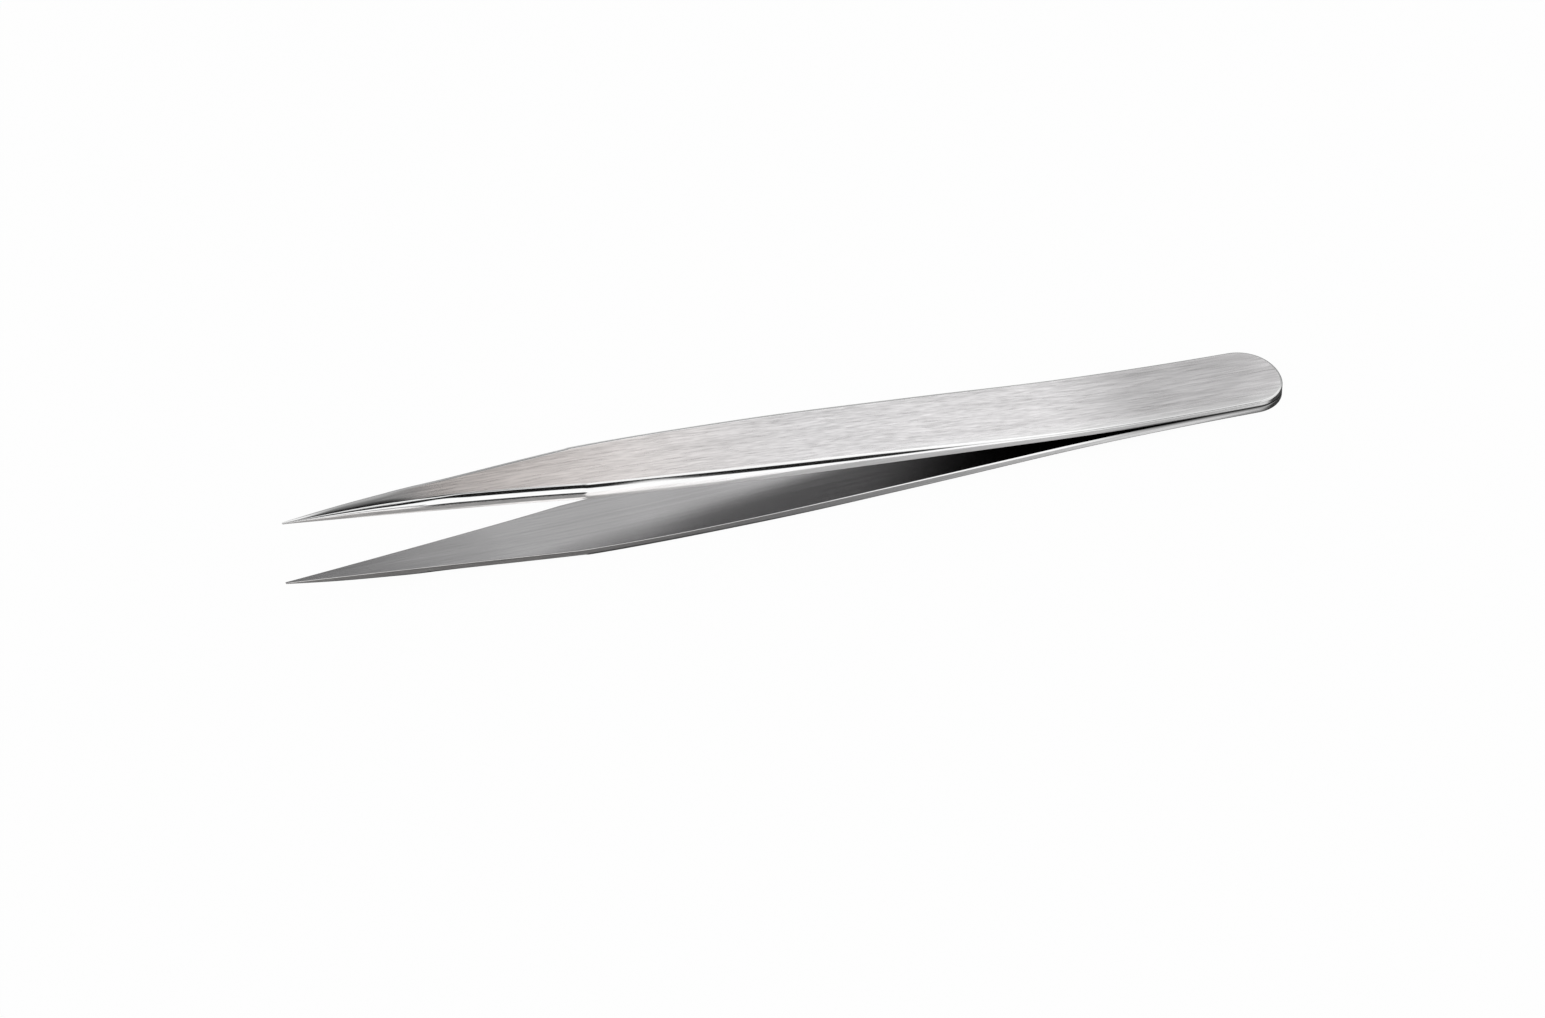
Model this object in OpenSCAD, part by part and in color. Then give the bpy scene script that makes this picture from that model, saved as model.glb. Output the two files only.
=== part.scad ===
// Fine-point tweezers for biology work, in millimetres.
// Two sprung steel blades, mirror images of each other, are joined face to face at the heel.
// They lie on a flat surface at z = 0, tips towards -X, resting on the belly and the heel of the lower blade.

/* [Outline from above] */
// Length from the points to the end of the heel
overall_l = 110; // [95:1:140]
// Distance from the points to the shoulders, where the taper meets the grip
taper_l = 31.5; // [24:0.5:38]
// Width across the shoulders
shoulder_w = 8.5; // [6:0.1:10]
// How far each side of the taper is ground hollow at its middle
taper_hollow = 0.1; // [0:0.02:0.3]
// How much nearer the points the shoulder lies at the inner edge than at the top of the side
shoulder_lean = 0.85; // [0:0.05:1.5]
// Distance from the points to the widest place of the grip
grip_x = 56; // [45:1:70]
// Width at the widest place of the grip
grip_w = 10.3; // [9:0.1:13]
// Width where the rounded end of the heel starts
heel_w = 9.8; // [8:0.1:12]
// Length of the rounded end of the heel
heel_round_l = 4.15; // [3:0.05:6]
// Squareness of the rounded end, where 2 is a plain ellipse
heel_square = 2.1; // [2:0.05:3]
// Width of the blunt end of a point
point_w = 0.2; // [0.1:0.02:0.5]

/* [Thickness of a blade] */
// Thickness at the heel
heel_t = 0.72; // [0.5:0.02:1.1]
// Thickness from the grip to the start of the point
body_t = 1.22; // [0.9:0.02:1.8]
// Thickness of the blunt end of a point
point_t = 0.15; // [0.1:0.01:0.3]
// Length of thin blade at the heel, before it starts to thicken
thin_l = 20; // [12:1:28]
// Length over which the blade thickens from the heel to the grip
thicken_l = 38.5; // [25:0.5:45]
// Length over which a point is ground thinner
point_l = 19; // [12:0.5:24]

/* [Bends of a blade] */
// Length of the flat land at the heel, where the blades are welded together
weld_l = 5.8; // [4.5:0.1:14]
// Angle between a blade and the middle plane after the bend at the heel
gape_a = 3.2; // [2.5:0.05:4.5]
// Length of the bend at the heel
gape_bend_l = 23.5; // [12:0.5:30]
// Angle by which a blade turns back towards the other one ahead of the grip
nip_a = 2.4; // [1:0.05:3]
// Distance from the points to the start of that bend
nip_x = 43.5; // [36:0.5:50]
// Length of that bend
nip_bend_l = 20.5; // [10:0.5:26]

/* [Edges] */
// How far the rounding of a side reaches in over the outer face at the grip
round_in = 1; // [0.4:0.05:1.3]
// How far the same rounding reaches down the side at the grip
round_down = 0.78; // [0.4:0.02:1]
// Reach of the rounding round the heel
heel_round = 0.15; // [0.05:0.01:0.4]
// Distance from the end of the heel to where the rounding starts to grow
round_from_l = 16; // [10:1:24]
// Length over which the rounding grows to its full reach
round_grow_l = 56; // [40:1:60]
// Reach of the rounding at the very point
point_round = 0.05; // [0.02:0.01:0.08]
// Growth of the rounding for each millimetre away from the point
point_round_rate = 0.085; // [0.06:0.005:0.12]
// Size of the bevel that breaks the sharp inner edges
edge_break = 0.1; // [0.04:0.01:0.15]

/* [Hidden] */

// Number of steps along the taper, the grip and the rounded heel, and round the edge
taper_steps = 18;
grip_steps = 34;
heel_steps = 14;
edge_steps = 6;
// Largest shares of the width and of the thickness that a rounding or a bevel takes at the point
width_share = 0.75;
thickness_share = 0.85;
bevel_share = 0.2;

// Places along a blade, from the points at x = 0 to the end of the heel at x = overall_l
heel_x = overall_l - heel_round_l;
weld_x = overall_l - weld_l;
thin_x = overall_l - thin_l;
round_x = overall_l - round_from_l;
grip_station = taper_steps + grip_steps;
last_station = grip_station + heel_steps;
last_ring = edge_steps + 2;

function blend(from, to, share) = from + (to - from) * share;
function ease(share) = let (s = min(max(share, 0), 1)) s * s * (3 - 2 * s);

// How far a strip has climbed at distance u past the start of a bend of length l, for a slope of one
function climb(u, l) = u <= 0 ? 0 : u < l ? u * u / (2 * l) : u - l / 2;

// Height of the inner face of the upper blade over the middle plane
function inner_z(x) =
    tan(gape_a) * climb(weld_x - x, gape_bend_l) - tan(nip_a) * climb(nip_x - x, nip_bend_l);

// Thickness of a blade: thin at the heel, full at the grip, ground down to the point
function full_t(x) = blend(heel_t, body_t, ease((thin_x - x) / thicken_l));
function blade_t(x) =
    let (ahead = max(1 - x / point_l, 0)) blend(full_t(x), point_t, ahead * ahead);
function outer_z(x) = inner_z(x) + blade_t(x);

// Half width of the grip, an arc each way from its widest place
function grip_y(x) =
    let (
        end_x = x < grip_x ? taper_l : heel_x,
        end_w = x < grip_x ? shoulder_w : heel_w,
        share = (x - grip_x) / (end_x - grip_x)
    )
    blend(grip_w, end_w, share * share) / 2;

// The side of the taper leans out, so the shoulder lies nearer the point at the inner edge
function shoulder_x(level) = taper_l - shoulder_lean * (1 - level);

// Outline on the +Y side at one station, at the inner edge (level 0) or the top of the side (level 1)
function outline(i, level) =
    i <= taper_steps ? taper_point(i / taper_steps, shoulder_x(level)) :
    i <= grip_station ? grip_point((i - taper_steps) / grip_steps, shoulder_x(level)) :
    heel_point(90 * (i - grip_station) / heel_steps);
function taper_point(share, end_x) =
    [
        share * end_x,
        blend(point_w / 2, grip_y(end_x), share) - 4 * taper_hollow * share * (1 - share)
    ];
function grip_point(share, start_x) =
    let (x = blend(start_x, heel_x, share)) [x, grip_y(x)];
function heel_point(a) =
    [
        heel_x + heel_round_l * pow(sin(a), 2 / heel_square),
        heel_w / 2 * pow(cos(a), 2 / heel_square)
    ];

// Outward direction of the outline at one station
function outward(i, level) =
    i == last_station ? [1, 0] :
    let (
        run = outline(i + 1, level) - outline(max(i - 1, 0), level),
        along = run / norm(run)
    )
    [-along.y, along.x];

// Sizes of the edges at one place p of the outline, limited by the metal that is there near the point
function metal_y(p) = p.x < taper_l ? p.y : shoulder_w / 2;
function reach_in(p) =
    min(
        blend(heel_round, round_in, ease((round_x - p.x) / round_grow_l)),
        point_round + point_round_rate * p.x,
        width_share * metal_y(p)
    );
function reach_down(p) = min(reach_in(p) * round_down / round_in, thickness_share * blade_t(p.x));
function bevel(p) = min(edge_break, bevel_share * metal_y(p), bevel_share * blade_t(p.x));

// Point of the upper blade at station i on ring k, which runs round the blade at one step of its edge.
// Ring 0 borders the inner face, ring 1 is the top of the bevel, ring 2 the top of the side.
function ring_point(i, k) =
    let (
        level = k < 2 ? 0 : 1,
        edge = outline(i, level),
        turn = 90 * max(k - 2, 0) / edge_steps,
        break_size = bevel(edge),
        inset = k == 0 ? break_size : k == 1 ? 0 : reach_in(edge) * (1 - cos(turn)),
        p = edge - inset * outward(i, level)
    )
    [
        p.x,
        i == last_station ? 0 : p.y,
        k == 0 ? inner_z(p.x) :
        k == 1 ? inner_z(p.x) + break_size :
        outer_z(p.x) - reach_down(edge) * (1 - sin(turn))
    ];

// A ring runs along the +Y side to the end of the heel and back along the -Y side
ring_size = 2 * last_station + 1;
blade_points = [
    for (k = [0 : last_ring])
        for (j = [0 : ring_size - 1])
            let (p = ring_point(min(j, ring_size - 1 - j), k)) j > last_station ? [p.x, -p.y, p.z] : p
];
side_faces = [
    for (k = [0 : last_ring - 1])
        for (j = [0 : ring_size - 1])
            let (a = k * ring_size + j, b = k * ring_size + (j + 1) % ring_size)
                each [[a, b, b + ring_size], [a, b + ring_size, a + ring_size]]
];

// The inner and the outer face are strips across the blade between the two sides of a ring
function strip(first, i) =
    let (a = first + i, b = first + ring_size - 1 - i)
        i == last_station - 1 ? [[a, a + 1, b]] : [[a, a + 1, b - 1], [a, b - 1, b]];
inner_faces = [
    for (i = [0 : last_station - 1])
        for (f = strip(0, i))
            [f[2], f[1], f[0]]
];
outer_faces = [
    for (i = [0 : last_station - 1])
        each strip(last_ring * ring_size, i)
];

// The tweezers lie tilted, so that the belly and the heel of the lower blade touch the surface together
rest_x = overall_l - heel_round;
rest_a = max([
    for (i = [0 : grip_station])
        let (p = ring_point(i, last_ring)) atan((p.z - heel_t) / (rest_x - p.x))
]);
rest_z = rest_x * sin(rest_a) + heel_t * cos(rest_a);
lying_x = [
    for (p = blade_points)
        for (side = [-1, 1])
            p.x * cos(rest_a) + side * p.z * sin(rest_a)
];
middle_x = (min(lying_x) + max(lying_x)) / 2;

module blade() {
    polyhedron(blade_points, concat(side_faces, inner_faces, outer_faces));
}

// Lays what is drawn round the middle plane down on the surface, with its box centred in X
module lying() {
    translate([-middle_x, 0, rest_z]) rotate([0, rest_a, 0]) children();
}

module upper_arm() {
    color([0.78, 0.77, 0.76]) lying() blade();
}

module lower_arm() {
    color([0.66, 0.66, 0.67]) lying() mirror([0, 0, 1]) blade();
}

upper_arm();
lower_arm();
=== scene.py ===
"""Fine-point tweezers for biology work: two sprung steel blades, welded together at the heel.

Lengths of the blades are in millimetres, with x = 0 at the points, and are turned into metres for the mesh.
The blades are drawn round their middle plane and are then laid down as the solids lie.
A pair of places in X is where a change starts and where it is complete, in this order.
The floor, the room, the softbox and the camera are in metres.
"""

import math

import bpy
import numpy as np
from mathutils import Matrix, Vector


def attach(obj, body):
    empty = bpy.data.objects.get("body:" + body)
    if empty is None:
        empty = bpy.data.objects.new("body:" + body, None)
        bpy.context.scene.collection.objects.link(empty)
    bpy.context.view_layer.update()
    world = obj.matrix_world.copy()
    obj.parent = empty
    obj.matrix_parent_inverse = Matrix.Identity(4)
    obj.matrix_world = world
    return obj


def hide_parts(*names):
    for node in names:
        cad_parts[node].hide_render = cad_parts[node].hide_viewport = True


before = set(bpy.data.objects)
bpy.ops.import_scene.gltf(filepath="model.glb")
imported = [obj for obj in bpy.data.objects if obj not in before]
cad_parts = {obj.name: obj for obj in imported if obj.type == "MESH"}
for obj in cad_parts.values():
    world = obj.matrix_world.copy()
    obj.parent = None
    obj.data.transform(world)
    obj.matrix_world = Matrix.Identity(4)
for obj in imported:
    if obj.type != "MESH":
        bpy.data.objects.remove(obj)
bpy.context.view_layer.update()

MM = 0.001

# Outline from above
OVERALL_L = 110.0
TAPER_L = 31.5
SHOULDER_W = 8.5
TAPER_HOLLOW = 0.1
SHOULDER_LEAN = 0.85
GRIP_X = 56.0
GRIP_W = 10.3
HEEL_W = 9.8
HEEL_ROUND_L = 4.15
HEEL_SQUARE = 2.1
POINT_W = 0.2

# Thickness of a blade
HEEL_T = 0.72
BODY_T = 1.22
POINT_T = 0.15
THIN_L = 20.0
THICKEN_L = 38.5
POINT_L = 19.0

# Bends of a blade
WELD_L = 5.8
GAPE_A = 3.2
GAPE_BEND_L = 23.5
NIP_A = 2.4
NIP_X = 43.5
NIP_BEND_L = 20.5

# Rounding between a side and the outer face: its reach in from the side, which is larger than in the solids
# at the heel, and its reach down for each millimetre in, on the taper and from the shoulder to the grip
ROUND_IN = 1.0
ROUND_FROM_L = 16.0
ROUND_GROW_L = 56.0
HEEL_ROUND = 0.25
POINT_ROUND = 0.05
POINT_ROUND_RATE = 0.085
WIDTH_SHARE = 0.75
THICKNESS_SHARE = 0.85
TAPER_RATIO = 1.0
GRIP_RATIOS = (1.05, 0.62)
GRIP_RATIOS_X = (42.0, 62.0)

# Bevel of the inner edges: its size at the grip and towards the heel, and the share left at the heel's end
BEVEL_SIZES = (0.035, 0.15)
BEVEL_SIZES_X = (50.0, 90.0)
BEVEL_LEFT = 0.08
BEVEL_LEFT_X = (106.0, 108.4)
BEVEL_SHARE = 0.2

# How the solids lie follows from their rounding at the heel, in and down
SOLID_HEEL_ROUND = 0.15
SOLID_HEEL_DOWN = 0.117
LIE_STEPS = 2000

# The side is ground flat along the taper, up to a small ledge where the rounding slopes by LEDGE_A degrees.
# A ledge takes up LEDGE_TURN on each side of its place, and two ledges are at least LEDGE_APART apart.
FLAT_FROM_X = (4.0, 12.0)
FLAT_TO_X = (31.55, 31.2)
LEDGE_A = 62.0
LEDGE_W = 0.08
LEDGE_DROP = 0.06
LEDGE_TURN = 1.0
LEDGE_APART = 8.0

# Near the points the rounding is narrower and lower, and its ledge lies further down. A second ledge comes
# after it, limited by the reach of the rounding. The arc between the two has moved out at SECOND_LEDGE_END.
POINT_X = (18.5, 11.0)
POINT_NARROW = 0.4
POINT_SINK = 0.035
POINT_LEDGE_A = 76.0
SECOND_LEDGE_A = 50.0
SECOND_LEDGE_W = 0.12
SECOND_LEDGE_DROP = 0.042
SECOND_LEDGE_LIMIT = 1.3
SECOND_LEDGE_END = 0.5

# There the rounding ends in a facet, and the outer face is crowned, with this slope at its rim
FACET_W = 0.38
FACET_SHARE = 0.6
FACET_A = 17.5
CROWN_A = 13.0
CROWN_X = (17.0, 9.0)

# A narrow chamfer in the rounding of the taper and the grip, and its slope on each
CHAMFER_W = 0.32
CHAMFER_FROM_X = (15.5, 19.5)
CHAMFER_TO_X = (75.0, 60.0)
CHAMFER_SLOPES = (24.0, 31.0)
CHAMFER_SLOPES_X = (30.0, 40.0)

# Steps of the mesh, the places of its rows across the faces, and the angle from which an edge is sharp
TAPER_STEPS = 110
GRIP_STEPS = 230
HEEL_STEPS = 60
WALL_PARTS = ("wall_1", "wall_2", "wall", "wall", "wall")
ARC_STEPS = (7, 9, 11)
ACROSS = (0.97, 0.9, 0.78, 0.62, 0.45, 0.28, 0.12, 0.0)
SHARP_A = 28.0

# How polished each part of the section is: a polished part is smoother and lighter in colour. The brushed
# outer face is polished on the points, and in rows along one edge, on the -Y side, from the grip to the
# heel, where the lighter colour is a painted highlight.
PART_POLISH = {"bevel": 1.0, "wall_1": 0.6, "wall_2": 0.6, "wall": 0.6, "flat": 0.6, "round": 1.0}
POINT_POLISH_X = (18.0, 10.0)
EDGE_POLISH_AND_HIGHLIGHT = (0.6, 0.4, 0.2)
EDGE_POLISH_LEFT = 0.05
EDGE_POLISH_X = (62.0, 74.0)

# Painted shade at the seam where the blades meet: how dark each part is, on the upper blade (1) and on the
# lower one (-1). Shade is painted deep between the blades, too, and on the bevel of the grip.
SEAM_SHADE_PARTS = {
    1: {"bevel": 1.0, "wall_1": 1.0, "wall_2": 0.9},
    -1: {"bevel": 1.0, "wall_1": 0.35},
}
SEAM_SHADE_X = (84.0, 97.0)
DEEP_SHADE_X = (60.0, 82.0)
GRIP_BEVEL_SHADE = 0.6
GRIP_BEVEL_SHADE_X = (75.0, 45.0)

HEEL_X = OVERALL_L - HEEL_ROUND_L
WELD_X = OVERALL_L - WELD_L
THIN_X = OVERALL_L - THIN_L
ROUND_X = OVERALL_L - ROUND_FROM_L


def blend(a, b, share):
    return a + (b - a) * share


def ramp(x, start, end):
    """Rises smoothly from 0 at the start to 1 at the end, which may be on either side of the start."""
    share = np.clip((x - start) / (end - start), 0, 1)
    return share * share * (3 - 2 * share)


def slope(degrees):
    return np.tan(np.radians(degrees))


def climb(u, length):
    """Height that a strip has gained at u past the start of a bend, for a slope of one."""
    u = np.maximum(u, 0)
    return np.where(u < length, u * u / (2 * length), u - length / 2)


def inner_z(x):
    return slope(GAPE_A) * climb(WELD_X - x, GAPE_BEND_L) - slope(NIP_A) * climb(NIP_X - x, NIP_BEND_L)


def blade_t(x):
    full = blend(HEEL_T, BODY_T, ramp(x, THIN_X, THIN_X - THICKEN_L))
    ahead = np.maximum(1 - x / POINT_L, 0)
    return blend(full, POINT_T, ahead * ahead)


def outer_z(x):
    return inner_z(x) + blade_t(x)


def grip_y(x):
    """Half width of the grip, an arc each way from its widest place."""
    end_x = np.where(x < GRIP_X, TAPER_L, HEEL_X)
    end_w = np.where(x < GRIP_X, SHOULDER_W, HEEL_W)
    share = (x - GRIP_X) / (end_x - GRIP_X)
    return blend(GRIP_W, end_w, share * share) / 2


def outline(level):
    """Points of the outline on the +Y side, from the point to the middle of the heel.

    The side leans out, so its shoulder is nearer the point at the inner edge (level 0) than at the top (1).
    """
    start = TAPER_L - SHOULDER_LEAN * (1 - level)
    share = np.linspace(0, 1, TAPER_STEPS + 1)[:-1]
    hollow = 4 * TAPER_HOLLOW * share * (1 - share)
    taper = np.stack([share * start, blend(POINT_W / 2, grip_y(start), share) - hollow], 1)
    x = blend(start, HEEL_X, np.linspace(0, 1, GRIP_STEPS + 1)[:-1])
    grip = np.stack([x, grip_y(x)], 1)
    turn = np.radians(np.linspace(0, 90, HEEL_STEPS + 1))
    power = 2 / HEEL_SQUARE
    heel_x = HEEL_X + HEEL_ROUND_L * np.sin(turn) ** power
    heel_y = HEEL_W / 2 * np.cos(turn).clip(0) ** power
    return np.concatenate([taper, grip, np.stack([heel_x, heel_y], 1)])


def outward(edge):
    """Outward directions of an outline."""
    run = np.empty_like(edge)
    run[1:-1] = edge[2:] - edge[:-2]
    run[0] = edge[1] - edge[0]
    run[-1] = (0, -1)
    run /= np.linalg.norm(run, axis=1, keepdims=True)
    return np.stack([-run[:, 1], run[:, 0]], 1)


def inset_by(edge, inset):
    """The outline moved inwards, with its last point kept on the middle line."""
    moved = edge - inset[:, None] * outward(edge)
    moved[-1, 1] = 0
    return moved


def metal_y(x, y):
    """Half width of the metal that a rounding or a bevel can take up."""
    return np.where(x < TAPER_L, y, SHOULDER_W / 2)


def reach_in(x, y):
    reach = blend(HEEL_ROUND, ROUND_IN, ramp(x, ROUND_X, ROUND_X - ROUND_GROW_L))
    reach = np.minimum(reach, POINT_ROUND + POINT_ROUND_RATE * x)
    return np.minimum(reach, WIDTH_SHARE * metal_y(x, y))


def reach_down(x, y):
    ratio = np.where(x < TAPER_L, TAPER_RATIO, blend(*GRIP_RATIOS, ramp(x, *GRIP_RATIOS_X)))
    return np.minimum(reach_in(x, y) * ratio, THICKNESS_SHARE * blade_t(x))


def bevel(x, y):
    size = blend(*BEVEL_SIZES, ramp(x, *BEVEL_SIZES_X))
    size = np.minimum(size, BEVEL_SHARE * metal_y(x, y))
    size = np.minimum(size, BEVEL_SHARE * blade_t(x))
    return size * blend(1, BEVEL_LEFT, ramp(x, *BEVEL_LEFT_X))


def near_point(x):
    return ramp(x, *POINT_X)


def crown_a(x):
    """Slope of the outer face at its rim, in degrees."""
    return CROWN_A * ramp(x, *CROWN_X)


def chamfer_a(x):
    """Slope of the chamfer, in degrees."""
    return blend(*CHAMFER_SLOPES, ramp(x, *CHAMFER_SLOPES_X))


def inner_rows(low):
    """Rows from the middle of the inner face out to its bevel."""
    ring = inset_by(low, bevel(low[:, 0], low[:, 1]))
    z = inner_z(ring[:, 0])
    rows = [("inside", np.column_stack([ring * (1, share), z])) for share in ACROSS[::-1]]
    return rows + [("bevel", np.column_stack([ring, z]))]


def wall_rows(low, high):
    """Rows up the side, from the top of the bevel to just below the rounding."""
    x, y = high.T
    bottom = np.column_stack([low, inner_z(low[:, 0]) + bevel(low[:, 0], low[:, 1])])
    top = np.column_stack([high, outer_z(x) - POINT_SINK * near_point(x) - reach_down(x, y)])
    return [(part, blend(bottom, top, k / len(WALL_PARTS))) for k, part in enumerate(WALL_PARTS)]


def turn_at(across, down, angle):
    """Turn, in degrees, at which a quarter of an ellipse with these two reaches slopes by an angle."""
    return np.degrees(np.arctan2(down / across, slope(angle)))


def turns_of_arcs(x, across, down):
    """Turns at which each of the three arcs of the rounding starts and ends."""
    near = near_point(x)
    first = turn_at(across, down, blend(LEDGE_A, POINT_LEDGE_A, near))
    second = turn_at(across, down, blend(chamfer_a(x), SECOND_LEDGE_A, near))
    second = np.maximum(second, first + LEDGE_APART)
    last = turn_at(across, down, crown_a(x))
    return (
        (0, first - LEDGE_TURN),
        (first + LEDGE_TURN, second - LEDGE_TURN),
        (second + LEDGE_TURN, last),
    )


def round_rows(high):
    """Rows from the side to the rim of the outer face: three arcs, with a ledge after the first two."""
    x, y = high.T
    near = near_point(x)
    flat = ramp(x, *FLAT_FROM_X) * ramp(x, *FLAT_TO_X)
    chamfer = CHAMFER_W * ramp(x, *CHAMFER_FROM_X) * ramp(x, *CHAMFER_TO_X)
    chamfer_in = chamfer * np.cos(np.radians(chamfer_a(x)))
    chamfer_down = chamfer * np.sin(np.radians(chamfer_a(x)))
    across = reach_in(x, y) * (1 - POINT_NARROW * near)
    facet = np.minimum(FACET_W, FACET_SHARE * across) * near
    facet_down = facet * slope(FACET_A)
    # What the chamfer and the facet leave is a quarter of an ellipse
    across = across - chamfer_in - facet
    down = reach_down(x, y) - chamfer_down - facet_down
    arcs = turns_of_arcs(x, across, down)
    rows = []
    for arc, steps in enumerate(ARC_STEPS):
        for share in np.linspace(0, 1, steps + 1):
            turn = np.radians(blend(*arcs[arc], share))
            inset = across * (1 - np.cos(turn))
            drop = down * (1 - np.sin(turn))
            if arc == 0:
                inset = inset * (1 - flat)
                drop = drop + chamfer_down + facet_down + LEDGE_DROP * flat * share
            elif arc == 1:
                step = np.minimum(near, SECOND_LEDGE_LIMIT * across) * ramp(share, 0, SECOND_LEDGE_END)
                inset = inset + LEDGE_W * flat - SECOND_LEDGE_W * step
                drop = drop + chamfer_down + facet_down + SECOND_LEDGE_DROP * step
            else:
                inset = inset + LEDGE_W * flat + chamfer_in + facet * share
                drop = drop + facet_down * (1 - share)
            edge = inset_by(high, inset)
            z = outer_z(edge[:, 0]) - POINT_SINK * near - drop
            rows.append(("flat" if arc == 0 else "round", np.column_stack([edge, z])))
    return rows


def face_rows(rim):
    """Rows from the rim to the middle of the outer face, which is crowned on the points."""
    x, y, z = rim.T
    crown = y * slope(crown_a(x)) / 2
    return [("face", np.column_stack([x, y * share, z + crown * (1 - share * share)])) for share in ACROSS]


def whole_section():
    """Rows along the blade, all the way round it, and the part of the section that each one is."""
    low, high = outline(0), outline(1)
    half = inner_rows(low) + wall_rows(low, high) + round_rows(high)
    half = half + face_rows(half[-1][1])
    other = [(part, row * (1, -1, 1)) for part, row in half[-2:0:-1]]
    parts, rows = zip(*(half + other))
    return parts, np.array(rows)


def lie_of_solids():
    """Tilt in radians, height and middle of the solids, which lie on the lower blade's belly and heel."""
    x = np.linspace(0, HEEL_X, LIE_STEPS)
    rest_x = OVERALL_L - SOLID_HEEL_ROUND
    tilt = np.arctan((outer_z(x) - HEEL_T) / (rest_x - x)).max()
    left = -outer_z(0) * math.sin(tilt)
    right = OVERALL_L * math.cos(tilt) + (HEEL_T - SOLID_HEEL_DOWN) * math.sin(tilt)
    return tilt, rest_x * math.sin(tilt) + HEEL_T * math.cos(tilt), (left + right) / 2


TILT, REST_Z, MIDDLE_X = lie_of_solids()


def lying(points, side):
    """Points of the upper blade, or of its mirror image for side -1, as the solids lie and in metres."""
    x, y, z = points[..., 0], points[..., 1], points[..., 2] * side
    along = x * math.cos(TILT) + z * math.sin(TILT) - MIDDLE_X
    up = z * math.cos(TILT) - x * math.sin(TILT) + REST_Z
    return np.stack([along, y, up], -1) * MM


def blade_faces(around, stations, side):
    """Faces between the rows, as lists of points. Both halves share those in the middle of the heel."""
    index = np.arange(around * stations).reshape(around, stations)
    for i in range(around):
        index[i, -1] = index[min(i, (around - i) % around), -1]
    faces = []
    for i in range(around):
        j = (i + 1) % around
        for s in range(stations - 1):
            quad = [index[i, s], index[j, s], index[j, s + 1], index[i, s + 1]]
            if side > 0:
                quad.reverse()
            face = [int(v) for k, v in enumerate(quad) if v != quad[k - 1]]
            if len(face) > 2:
                faces.append(face)
    blunt_end = index[:, 0].tolist()
    return faces + [blunt_end if side > 0 else blunt_end[::-1]]


def by_part(parts, values):
    """A column with the value of each row's part, and 0 where the part has none."""
    return np.array([[values.get(part, 0.0)] for part in parts])


def polish_mark(parts, x):
    polish = by_part(parts, PART_POLISH) + by_part(parts, {"face": 1.0}) * ramp(x, *POINT_POLISH_X)
    # The first row of the outer face after its rim. The other half's rows come in the reverse order.
    first = len(parts) // 2 + 1 - len(ACROSS)
    # Rows along the edge on the -Y side: real polish in their roughness, and a painted highlight in their
    # lighter colour
    for k, value in enumerate(EDGE_POLISH_AND_HIGHLIGHT):
        row = len(parts) - first - k
        share = blend(EDGE_POLISH_LEFT, 1, ramp(x[row], *EDGE_POLISH_X))
        polish[row] = np.maximum(polish[row], value * share)
    return polish


def painted_shade_between_blades(parts, x, side):
    # Painted shade between the blades: at the seam, deep between them, and on the bevel of the grip
    shade_between_blades = by_part(parts, SEAM_SHADE_PARTS[side]) * ramp(x, *SEAM_SHADE_X)
    deep_shade = by_part(parts, {"inside": 1.0}) * ramp(x, *DEEP_SHADE_X)
    grip_bevel_shade = by_part(parts, {"bevel": GRIP_BEVEL_SHADE}) * ramp(x, *GRIP_BEVEL_SHADE_X)
    return shade_between_blades + deep_shade + grip_bevel_shade


def make_blade(name, side, material):
    parts, rows = whole_section()
    faces = blade_faces(*rows.shape[:2], side)
    used = np.unique(np.concatenate(faces))
    place = {int(v): k for k, v in enumerate(used)}
    mesh = bpy.data.meshes.new(name)
    points = lying(rows, side).reshape(-1, 3)[used]
    mesh.from_pydata(points.tolist(), [], [[place[v] for v in face] for face in faces])
    x = rows[..., 0]
    marks = {
        "inside": by_part(parts, {"inside": 1.0}) + 0 * x,
        "polish": polish_mark(parts, x),
        "shade_between_blades": painted_shade_between_blades(parts, x, side),
    }
    for mark, values in marks.items():
        layer = mesh.attributes.new(mark, "FLOAT", "POINT")
        layer.data.foreach_set("value", values.reshape(-1)[used].astype(np.float32))
    mesh.validate()
    mesh.update()
    mesh.polygons.foreach_set("use_smooth", [True] * len(mesh.polygons))
    mesh.set_sharp_from_angle(angle=math.radians(SHARP_A))
    mesh.materials.append(material)
    blade = bpy.data.objects.new(name, mesh)
    bpy.context.scene.collection.objects.link(blade)
    return blade


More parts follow.
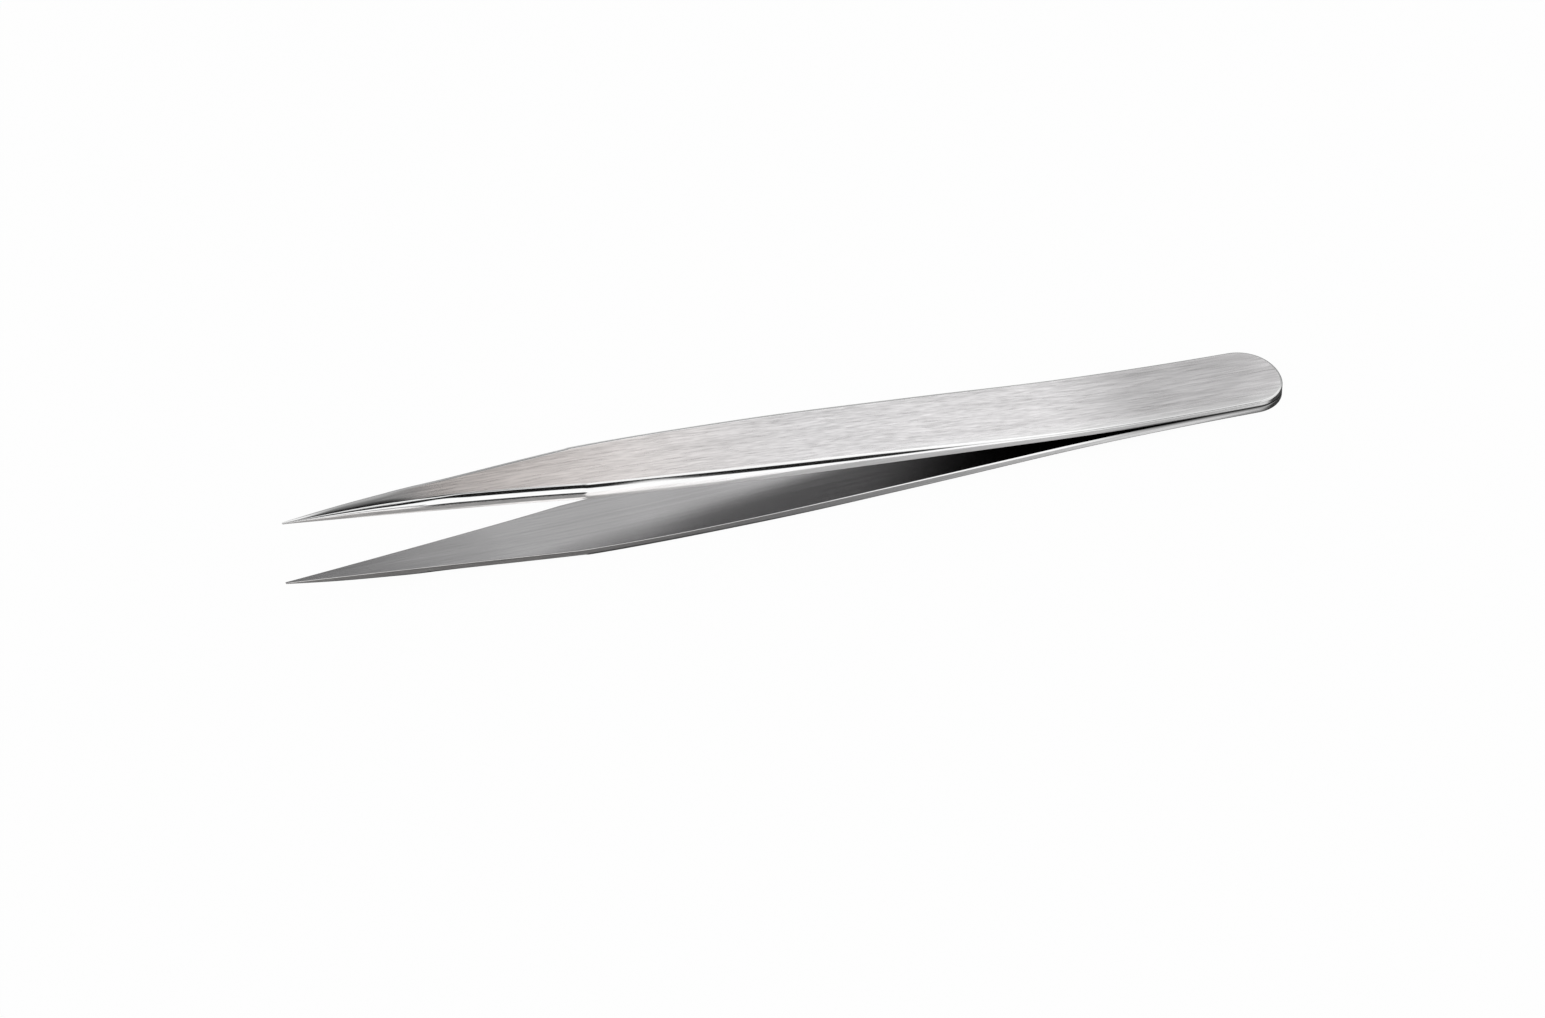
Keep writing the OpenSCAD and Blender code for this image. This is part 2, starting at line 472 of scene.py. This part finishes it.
class Nodes:
    """Short calls for a node tree."""

    def __init__(self, tree):
        self.tree = tree
        tree.nodes.clear()

    def put(self, slot, value):
        """Links an output to a slot, or sets the slot to a plain value."""
        if isinstance(value, bpy.types.NodeSocket):
            self.tree.links.new(value, slot)
        else:
            slot.default_value = value

    def add(self, kind, *inputs, output=0, named=None, **settings):
        """A node with its inputs in their order or by name. Gives one of its outputs."""
        node = self.tree.nodes.new(kind)
        for key, value in settings.items():
            setattr(node, key, value)
        for i, value in enumerate(inputs):
            self.put(node.inputs[i], value)
        for key, value in (named or {}).items():
            self.put(node.inputs[key], value)
        return node.outputs[output] if node.outputs else None

    def math(self, operation, *values):
        return self.add("ShaderNodeMath", *values, operation=operation)

    def plus(self, first, *others):
        for value in others:
            first = self.math("ADD", first, value)
        return first

    def times(self, first, *others):
        for value in others:
            first = self.math("MULTIPLY", first, value)
        return first

    def minus(self, a, b):
        return self.math("SUBTRACT", a, b)

    def mix(self, share, a, b):
        return self.plus(self.times(a, self.minus(1.0, share)), self.times(b, share))

    def rise(self, value, low, high, out_low=0.0, out_high=1.0):
        """A smooth step from out_low at low to out_high at high."""
        kind = "ShaderNodeMapRange"
        return self.add(kind, value, low, high, out_low, out_high, interpolation_type="SMOOTHSTEP")

    def curve(self, value, stops):
        """A smooth curve through pairs of a place and a height, level beyond the first and the last."""
        height = stops[0][1]
        for (start, before), (end, after) in zip(stops, stops[1:]):
            height = self.plus(height, self.rise(value, start, end, 0.0, after - before))
        return height

    def split(self, vector):
        """The X, Y and Z of a vector."""
        node = self.tree.nodes.new("ShaderNodeSeparateXYZ")
        self.put(node.inputs[0], vector)
        return node.outputs

    def colour(self, share, a, b):
        """A mix of two colours, by the places of a Mix node's slots for colours."""
        node = self.tree.nodes.new("ShaderNodeMix")
        node.data_type = "RGBA"
        for slot, value in ((0, share), (6, a), (7, b)):
            self.put(node.inputs[slot], value)
        return node.outputs[2]

    def emission(self, strength):
        return self.add("ShaderNodeEmission", WHITE, strength)


def new_material(name):
    material = bpy.data.materials.new(name)
    material.use_nodes = True
    return material, Nodes(material.node_tree)


WHITE = (1, 1, 1, 1)

# Steel: its colours, and where the outer face turns warmer towards the points
FACE_COLOUR = (0.745, 0.732, 0.738, 1)
WARM_COLOUR = (0.76, 0.707, 0.683, 1)
WARM_X = (0.005, -0.035)
EDGE_COLOUR = (0.82, 0.82, 0.82, 1)
INSIDE_COLOUR = (0.6, 0.595, 0.6, 1)

# Painted light and shade along the blade, on the outer face and on the inner face: place in X, and share of
# the colour
FACE_SHADE_TONES = ((0.027, 1.0), (0.041, 0.68), (0.048, 0.68), (0.054, 0.78))
INSIDE_LIGHT_AND_SHADE_TONES = ((-0.049, 1.2), (-0.038, 1.45), (-0.033, 1.4), (-0.018, 1.05), (-0.008, 0.85), (0.01, 0.8))
# Share of the colour left where the shade between the blades is painted in full
SHADE_BETWEEN_BLADES_TONE = 0.03

# Brushed streaks, with about this length and width, and how much of them is left on the other surfaces
FINE_STREAKS = {"along": 0.024, "across": 0.00014, "wave": 0.15}
MEDIUM_STREAKS = {"along": 0.028, "across": 0.0003, "wave": 0.25}
SOFT_STREAKS = {"along": 0.045, "across": 0.0015, "wave": 0.5}
FINE_SHARE = 0.35
MEDIUM_SHARE = 0.42
SOFT_SHARE = 0.23
STREAK_DETAIL = 3.0
STREAK_MIDDLE = 0.5
STREAK_TONE = 1.85
STREAK_ROUGHNESS = 0.12
POLISHED_STREAKS = 0.2
INSIDE_STREAKS = 0.35

# How rough the surfaces are, how far their highlights are drawn out across the brushing, and the relief
FACE_ROUGHNESS = 0.29
POLISHED_ROUGHNESS = 0.075
INSIDE_ROUGHNESS = 0.19
STRETCH = 0.85
RELIEF_STRENGTH = 0.25
RELIEF_DEPTH = 0.000004


def streaks(n, place, along, across, wave):
    """Noise from 0 to 1 that is drawn out along the blade."""
    sizes = (1 / along, 1 / across, 1 / across)
    scaled = n.add("ShaderNodeVectorMath", place, sizes, operation="MULTIPLY")
    inputs = {"Vector": scaled, "Scale": 1.0, "Detail": STREAK_DETAIL, "Distortion": wave}
    return n.add("ShaderNodeTexNoise", named=inputs)


def steel_colour(n, x, inside, polish):
    face = n.colour(n.rise(x, *WARM_X), FACE_COLOUR, WARM_COLOUR)
    return n.colour(inside, n.colour(polish, face, EDGE_COLOUR), INSIDE_COLOUR)


def painted_steel_light_and_shade(n, x, inside, shade_between_blades):
    """Painted light and shade of the steel, along the blade and between the blades, without its streaks."""
    face_shade = n.mix(n.minus(1.0, inside), 1.0, n.curve(x, FACE_SHADE_TONES))
    inside_light_and_shade = n.mix(inside, 1.0, n.curve(x, INSIDE_LIGHT_AND_SHADE_TONES))
    return n.times(n.mix(shade_between_blades, 1.0, SHADE_BETWEEN_BLADES_TONE), face_shade, inside_light_and_shade)


def make_steel():
    material, n = new_material("brushed_steel")
    place = n.add("ShaderNodeTexCoord", output="Object")
    x = n.split(place)[0]
    inside, polish, shade_between_blades = [
        n.add("ShaderNodeAttribute", attribute_name=mark, output="Fac")
        for mark in ("inside", "polish", "shade_between_blades")
    ]
    sizes = (FINE_STREAKS, MEDIUM_STREAKS, SOFT_STREAKS)
    fine, medium, soft = [streaks(n, place, **size) for size in sizes]
    lines = n.plus(n.times(fine, FINE_SHARE), n.times(medium, MEDIUM_SHARE), n.times(soft, SOFT_SHARE))
    amount = n.times(n.mix(polish, 1.0, POLISHED_STREAKS), n.mix(inside, 1.0, INSIDE_STREAKS))
    streak_tone = n.plus(1.0, n.times(n.minus(lines, STREAK_MIDDLE), amount, STREAK_TONE))
    tone = n.times(streak_tone, painted_steel_light_and_shade(n, x, inside, shade_between_blades))
    base = steel_colour(n, x, inside, polish)
    colour = n.add("ShaderNodeVectorMath", base, operation="SCALE", named={"Scale": tone})
    roughness = n.mix(inside, n.mix(polish, FACE_ROUGHNESS, POLISHED_ROUGHNESS), INSIDE_ROUGHNESS)
    roughness = n.plus(roughness, n.times(n.minus(medium, STREAK_MIDDLE), amount, STREAK_ROUGHNESS))
    height = n.times(n.plus(fine, medium), amount)
    relief = {"Strength": RELIEF_STRENGTH, "Distance": RELIEF_DEPTH, "Height": height}
    normal = n.add("ShaderNodeNewGeometry", output="Normal")
    looks = {
        "Base Color": colour,
        "Metallic": 1.0,
        "Roughness": roughness,
        "Anisotropic": STRETCH,
        "Tangent": n.add("ShaderNodeVectorMath", normal, (1, 0, 0), operation="CROSS_PRODUCT"),
        "Normal": n.add("ShaderNodeBump", named=relief),
    }
    n.add("ShaderNodeOutputMaterial", n.add("ShaderNodeBsdfPrincipled", named=looks))
    return material


# Each dressed blade takes the place of its solid, which gets the same steel
steel = make_steel()
for name, side in (("upper_arm", 1), ("lower_arm", -1)):
    blade = make_blade(name + "_dressed", side, steel)
    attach(blade, "root")
    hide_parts(name)
    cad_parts[name].data.materials.clear()
    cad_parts[name].data.materials.append(steel)


def make_sheet(name, sides, ends, material):
    """A flat rectangle in its own X and Y."""
    (left, right), (low, high) = sides, ends
    mesh = bpy.data.meshes.new(name)
    corners = [(left, low, 0), (right, low, 0), (right, high, 0), (left, high, 0)]
    mesh.from_pydata(corners, [], [(0, 1, 2, 3)])
    mesh.materials.append(material)
    sheet = bpy.data.objects.new(name, mesh)
    bpy.context.scene.collection.objects.link(sheet)
    return sheet


# Floor, a little below the blades. The camera sees it white.
FLOOR_HALF = 3.0
FLOOR_Z = -0.00002
FLOOR_COLOUR = 0.6
FLOOR_WHITE = 0.975
FRONT_LIGHT = 1.2

# The shade and light painted on the floor, which only the metal mirrors, depend on the distance past the
# edge of the blades. That edge is straight at the grip and bends in towards the points.
EDGE_Y = 0.00505
EDGE_BEND_X = 0.001
EDGE_BEND = 1.5

# Painted shade: it is dark under the blades, with a wider shade at the heel, dim close to the grip, and
# dark past the heel
UNDER_TONE = 0.12
UNDER_Y = -0.0002
SHADE_X = (0.016, 0.03)
SHADE_Y = (0.0006, 0.00105)
CLOSE_TONE = (0.38, 1.3)
CLOSE_X = (-0.005, 0.042)
CLOSE_Y = (0.0025, 0.008)
TAPER_TONE = 0.62
TAPER_X = (-0.024, -0.014)
HEEL_TONE = 0.2
PAST_HEEL_X = (0.053, 0.0565)

# Painted light, a glow that only the metal mirrors: it is bright in front, further out beside the points,
# and in a strip close to the heel
NEAR_SIDE_Y = (0.0, -0.004)
FRONT_Y = (0.013, 0.03)
POINTS_X = (-0.024, -0.034)
POINTS_FURTHER = 0.012
STRIP_FROM_Y = (0.00065, 0.00095)
STRIP_TO_Y = (0.0019, 0.0015)
STRIP_X = (0.028, 0.042)


def painted_floor_shade(n, x, past):
    """Painted shade of the floor in the metal, at a distance past the edge of the blades."""
    close = n.rise(x, *CLOSE_X, *CLOSE_TONE)
    far = n.rise(x, *TAPER_X, TAPER_TONE, 1.0)
    tone = n.mix(n.rise(past, *CLOSE_Y), close, far)
    shade_end = n.rise(x, *SHADE_X, *SHADE_Y)
    tone = n.mix(n.rise(past, UNDER_Y, shade_end), UNDER_TONE, tone)
    return n.mix(n.rise(x, *PAST_HEEL_X), tone, HEEL_TONE)


def painted_floor_light(n, x, y, past):
    """Share of the painted light on the floor in the metal."""
    ahead = n.minus(past, n.rise(x, *POINTS_X, 0.0, POINTS_FURTHER))
    strip = n.times(n.rise(past, *STRIP_FROM_Y), n.rise(past, *STRIP_TO_Y), n.rise(x, *STRIP_X))
    bright = n.math("MAXIMUM", n.rise(ahead, *FRONT_Y), strip)
    return n.times(bright, n.rise(y, *NEAR_SIDE_Y), n.rise(x, *PAST_HEEL_X, 1.0, 0.0))


def make_floor():
    material, n = new_material("pale_floor")
    x, y, _ = n.split(n.add("ShaderNodeTexCoord", output="Object"))
    bow = n.times(n.math("POWER", n.math("MINIMUM", n.minus(x, EDGE_BEND_X), 0.0), 2.0), EDGE_BEND)
    past = n.minus(n.math("ABSOLUTE", y), n.minus(EDGE_Y, bow))
    # The metal mirrors the floor with painted shade, and with the painted light of its glow in front
    mirrored = n.add("ShaderNodeLightPath", output="Is Glossy Ray")
    shade = n.times(n.mix(mirrored, 1.0, painted_floor_shade(n, x, past)), FLOOR_COLOUR)
    plain = n.add("ShaderNodeBsdfDiffuse", n.add("ShaderNodeCombineColor", shade, shade, shade))
    front = n.times(painted_floor_light(n, x, y, past), mirrored)
    ground = n.add("ShaderNodeMixShader", front, plain, n.emission(FRONT_LIGHT))
    seen = n.times(n.add("ShaderNodeLightPath", output="Is Camera Ray"), FLOOR_WHITE)
    n.add("ShaderNodeOutputMaterial", n.add("ShaderNodeMixShader", seen, ground, n.emission(1.0)))
    reach = (-FLOOR_HALF, FLOOR_HALF)
    floor = make_sheet("floor", reach, reach, material)
    floor.location.z = FLOOR_Z


make_floor()

# Room. A direction's place is where it meets a ceiling one unit up: p to the right and q to the back.
# Directions near the horizon are taken as if they were this high.
LOWEST = 0.04
BACK_LIGHT = 1.15
LIGHTS_MEET_Q = (-0.15, 0.15)

# A dark gap runs from left to right between the light in front and the light behind, and turns to the front
GAP_LIGHT = 0.005
GAP_Q = (0.1, -0.15)
GAP_P = (0.25, 0.4)
GAP_HALF = 0.16
GAP_SOFT = 0.05
GAP_START_P = (-0.12, -0.02)
GAP_END_P = (0.5, 0.44)

# Behind it is dim on the left of a slanting line, from dark near the gap to a low light far behind. Far
# behind, it is bright again on the left of a second line.
DIM_FROM_P = 0.2
DIM_SLANT = 0.14
DIM_BEND_Q = 1.2
DIM_P = (0.06, -0.06)
DIM_Q = (0.43, 0.54)
DIM_RISE = (0.58, 1.3, 0.004, 0.2)
DIM_SECOND_RISE = (1.2, 2.4, 0.0, 0.17)
CLEAR_SIDEWAYS = (0.13, 0.09)
CLEAR_Q = (0.5, 1.0)

# Low behind it is dim, and dark on the right
BEHIND_Y = (-0.2, 0.2)
LOW_Z = (0.25, 0.0)
LOW_BACK_Z = (0.5, 0.22)
LOW_BACK_LIGHT = 0.48
RIGHT_X = (0.5, 0.72)
RIGHT_FROM_Y = (-0.5, -0.3)
RIGHT_TO_Y = (0.45, 0.3)
RIGHT_TO_Z = (0.4, 0.2)
RIGHT_LIGHT = 0.1


def room_gap(n, p, off):
    """Share of the dark gap, at a distance from its middle line."""
    across = n.rise(n.math("ABSOLUTE", off), GAP_HALF + GAP_SOFT, GAP_HALF - GAP_SOFT)
    return n.times(across, n.rise(p, *GAP_START_P), n.rise(p, *GAP_END_P))


def room_dim(n, x, y, p, q):
    """Share of the dim zone behind on the left, and its light."""
    bend = n.math("MAXIMUM", n.minus(q, DIM_BEND_Q), 0.0)
    line_p = n.plus(n.times(n.plus(q, bend), DIM_SLANT), DIM_FROM_P)
    sideways = n.math("DIVIDE", x, n.math("MAXIMUM", y, LOWEST))
    clear = n.times(n.rise(sideways, *CLEAR_SIDEWAYS), n.rise(q, *CLEAR_Q))
    share = n.times(n.rise(n.minus(p, line_p), *DIM_P), n.rise(q, *DIM_Q), n.minus(1.0, clear))
    return share, n.plus(n.rise(q, *DIM_RISE), n.rise(q, *DIM_SECOND_RISE))


def make_room():
    world = bpy.data.worlds.new("studio")
    bpy.context.scene.world = world
    world.use_nodes = True
    n = Nodes(world.node_tree)
    x, y, z = n.split(n.add("ShaderNodeTexCoord", output="Generated"))
    height = n.math("MAXIMUM", z, LOWEST)
    p = n.math("DIVIDE", x, height)
    q = n.math("DIVIDE", y, height)
    off = n.minus(q, n.rise(p, *GAP_P, *GAP_Q))
    light = n.rise(off, *LIGHTS_MEET_Q, FRONT_LIGHT, BACK_LIGHT)
    light = n.mix(room_gap(n, p, off), light, GAP_LIGHT)
    dim, dim_light = room_dim(n, x, y, p, q)
    light = n.mix(dim, light, dim_light)
    behind = n.rise(y, *BEHIND_Y)
    light = n.mix(n.times(behind, n.rise(z, *LOW_BACK_Z)), light, LOW_BACK_LIGHT)
    light = n.mix(n.rise(z, *LOW_Z), light, n.mix(behind, FRONT_LIGHT, LOW_BACK_LIGHT))
    beside = n.times(n.rise(y, *RIGHT_FROM_Y), n.rise(y, *RIGHT_TO_Y), n.rise(z, *RIGHT_TO_Z))
    light = n.mix(n.times(n.rise(x, *RIGHT_X), beside), light, RIGHT_LIGHT)
    strength = n.mix(n.add("ShaderNodeLightPath", output="Is Camera Ray"), light, 1.0)
    n.add("ShaderNodeOutputWorld", n.add("ShaderNodeBackground", WHITE, strength))


make_room()

# Softbox behind on the right, which the outer face mirrors, with X to the right and Y down. Its light fades
# downwards and to the left: place in X, and strength.
PANEL_AZIMUTH = 25.0
PANEL_HEIGHT = 33.0
PANEL_DISTANCE = 0.2
PANEL_SIDES = (-0.078, 0.11)
PANEL_ENDS = (-0.055, 0.07)
PANEL_FADE_Y = (-0.01, 0.022)
PANEL_FADE = (1.0, 0.4)
PANEL_LIGHT = (
    (-0.078, 0.3),
    (-0.067, 0.31),
    (-0.061, 0.43),
    (-0.051, 0.72),
    (-0.043, 0.88),
    (-0.032, 1.07),
    (-0.012, 1.17),
    (0.01, 1.2),
    (0.025, 1.42),
)


def make_panel():
    material, n = new_material("softbox_light")
    x, y, _ = n.split(n.add("ShaderNodeTexCoord", output="Object"))
    light = n.times(n.curve(x, PANEL_LIGHT), n.rise(y, *PANEL_FADE_Y, *PANEL_FADE))
    n.add("ShaderNodeOutputMaterial", n.emission(light))
    panel = make_sheet("softbox", PANEL_SIDES, PANEL_ENDS, material)
    azimuth, height = math.radians(PANEL_AZIMUTH), math.radians(PANEL_HEIGHT)
    level = math.cos(height)
    out = Vector((math.sin(azimuth) * level, math.cos(azimuth) * level, math.sin(height)))
    right = Vector((math.cos(azimuth), -math.sin(azimuth), 0))
    down = out.cross(right)
    panel.matrix_world = Matrix((right, down, out)).transposed().to_4x4()
    panel.matrix_world.translation = out * PANEL_DISTANCE
    panel.visible_camera = False
    panel.visible_shadow = False


make_panel()

# Camera: its place, and its turns about the vertical, down from the horizon and about its own axis
CAMERA_PLACE = (-0.131298, -0.480467, 0.369766)
CAMERA_TURN = -15.02845
CAMERA_DOWN = 36.77387
CAMERA_ROLL = -3.34664
CAMERA_LENS = 136.24
SENSOR_W = 36
CAMERA_SEES = (0.01, 50)


def make_camera():
    camera = bpy.data.objects.new("camera", bpy.data.cameras.new("camera"))
    bpy.context.scene.collection.objects.link(camera)
    turn = Matrix.Rotation(math.radians(CAMERA_TURN), 4, "Z")
    down = Matrix.Rotation(math.radians(90 - CAMERA_DOWN), 4, "X")
    roll = Matrix.Rotation(math.radians(CAMERA_ROLL), 4, "Z")
    camera.matrix_world = Matrix.Translation(CAMERA_PLACE) @ turn @ down @ roll
    camera.data.sensor_fit = "HORIZONTAL"
    camera.data.sensor_width = SENSOR_W
    camera.data.lens = CAMERA_LENS
    camera.data.clip_start, camera.data.clip_end = CAMERA_SEES
    bpy.context.scene.camera = camera


make_camera()
bpy.context.scene.view_settings.view_transform = "Standard"
